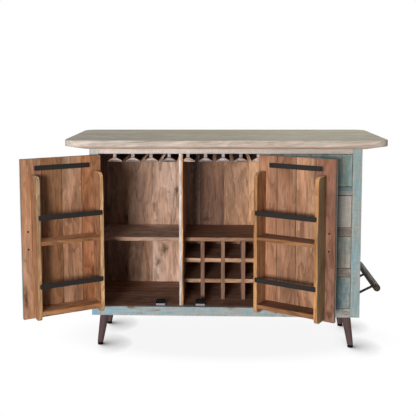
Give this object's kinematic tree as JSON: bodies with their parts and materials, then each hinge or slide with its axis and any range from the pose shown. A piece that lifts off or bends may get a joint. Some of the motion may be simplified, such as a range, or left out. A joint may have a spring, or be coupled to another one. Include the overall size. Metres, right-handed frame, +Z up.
{
  "type": "bar armoire",
  "caption": "Free-standing bar cabinet with an overhanging slab top, shelf-lined swing doors, stemware rails, a bottle rack, drawers, splayed tapered legs and foot rails.",
  "frame": {"origin": "on the floor, under the centre of the carcass and of the four feet", "axes": "+X to the right seen from the doors, +Y from the doors to the guests' side, +Z up"},
  "size_m": [1.7595, 0.9271, 1.067],
  "materials": {
    "weathered_top": "weathered grey, dry matt oil",
    "teal_paint": "distressed matt paint over wood",
    "reclaimed_wood": "reclaimed boards, waxed",
    "dark_wood": "dark brown stain, satin",
    "black_iron": "blackened, waxed",
    "steel": "plain, slightly dulled",
    "black_plastic": "moulded, matt"
  },
  "bodies": {
    "cabinet": {"back_foot_rail": "dark_wood", "back_left_leg": "dark_wood", "back_planks": "teal_paint", "back_right_leg": "dark_wood", "bar_top": "weathered_top", "catch_poles": "steel", "ceiling_board": "reclaimed_wood", "centre_divider": "reclaimed_wood", "corner_blocks": "reclaimed_wood", "door_catches": "black_plastic", "drawer_partition": "reclaimed_wood", "drawer_runners": "reclaimed_wood", "end_foot_rails": "dark_wood", "face_frame_rails": "teal_paint", "face_frame_stiles": "teal_paint", "floor_board": "reclaimed_wood", "foot_glides": "black_plastic", "foot_rail_brackets": "black_iron", "front_left_leg": "dark_wood", "front_right_leg": "dark_wood", "glass_rails": "reclaimed_wood", "hinge_frame_leaves": "black_iron", "hinge_pins": "black_iron", "left_shelf": "reclaimed_wood", "left_side_panel": "teal_paint", "leg_plates": "steel", "right_shelf": "reclaimed_wood", "right_side_panel": "teal_paint", "wine_rack_shelves": "reclaimed_wood", "wine_rack_uprights": "reclaimed_wood"},
    "left_door": {"left_door_face_strap": "black_iron", "left_door_guard_bars": "black_iron", "left_door_hinge_leaves": "black_iron", "left_door_planks": "reclaimed_wood", "left_door_pull": "black_iron", "left_door_screws": "black_iron", "left_door_shelves": "reclaimed_wood", "left_door_side_boards": "reclaimed_wood", "left_door_strike_plate": "steel"},
    "right_door": {"right_door_face_strap": "black_iron", "right_door_guard_bars": "black_iron", "right_door_hinge_leaves": "black_iron", "right_door_planks": "reclaimed_wood", "right_door_pull": "black_iron", "right_door_screws": "black_iron", "right_door_shelves": "reclaimed_wood", "right_door_side_boards": "reclaimed_wood", "right_door_strike_plate": "steel"},
    "drawer_1": {"drawer_1_box": "reclaimed_wood", "drawer_1_front": "teal_paint", "drawer_1_knob": "black_iron"},
    "drawer_2": {"drawer_2_box": "reclaimed_wood", "drawer_2_front": "teal_paint", "drawer_2_knob": "black_iron"},
    "drawer_3": {"drawer_3_box": "reclaimed_wood", "drawer_3_front": "teal_paint", "drawer_3_knob": "black_iron"},
    "drawer_4": {"drawer_4_box": "reclaimed_wood", "drawer_4_front": "teal_paint", "drawer_4_knob": "black_iron"}
  },
  "joints": [
    {"name": "left_door_swing", "type": "hinge", "parent": "cabinet", "child": "left_door", "pos_m": [-0.623, -0.2403, 0.611], "axis": [0, 0, 1], "range_deg": [-22, 150]},
    {"name": "right_door_swing", "type": "hinge", "parent": "cabinet", "child": "right_door", "pos_m": [0.177, -0.2403, 0.611], "axis": [0, 0, -1], "range_deg": [-22, 150]},
    {"name": "drawer_1_slide", "type": "slide", "parent": "cabinet", "child": "drawer_1", "axis": [0, -1, 0], "range_m": [0, 0.036]},
    {"name": "drawer_2_slide", "type": "slide", "parent": "cabinet", "child": "drawer_2", "axis": [0, -1, 0], "range_m": [0, 0.036]},
    {"name": "drawer_3_slide", "type": "slide", "parent": "cabinet", "child": "drawer_3", "axis": [0, -1, 0], "range_m": [0, 0.036]},
    {"name": "drawer_4_slide", "type": "slide", "parent": "cabinet", "child": "drawer_4", "axis": [0, -1, 0], "range_m": [0, 0.036]}
  ]
}
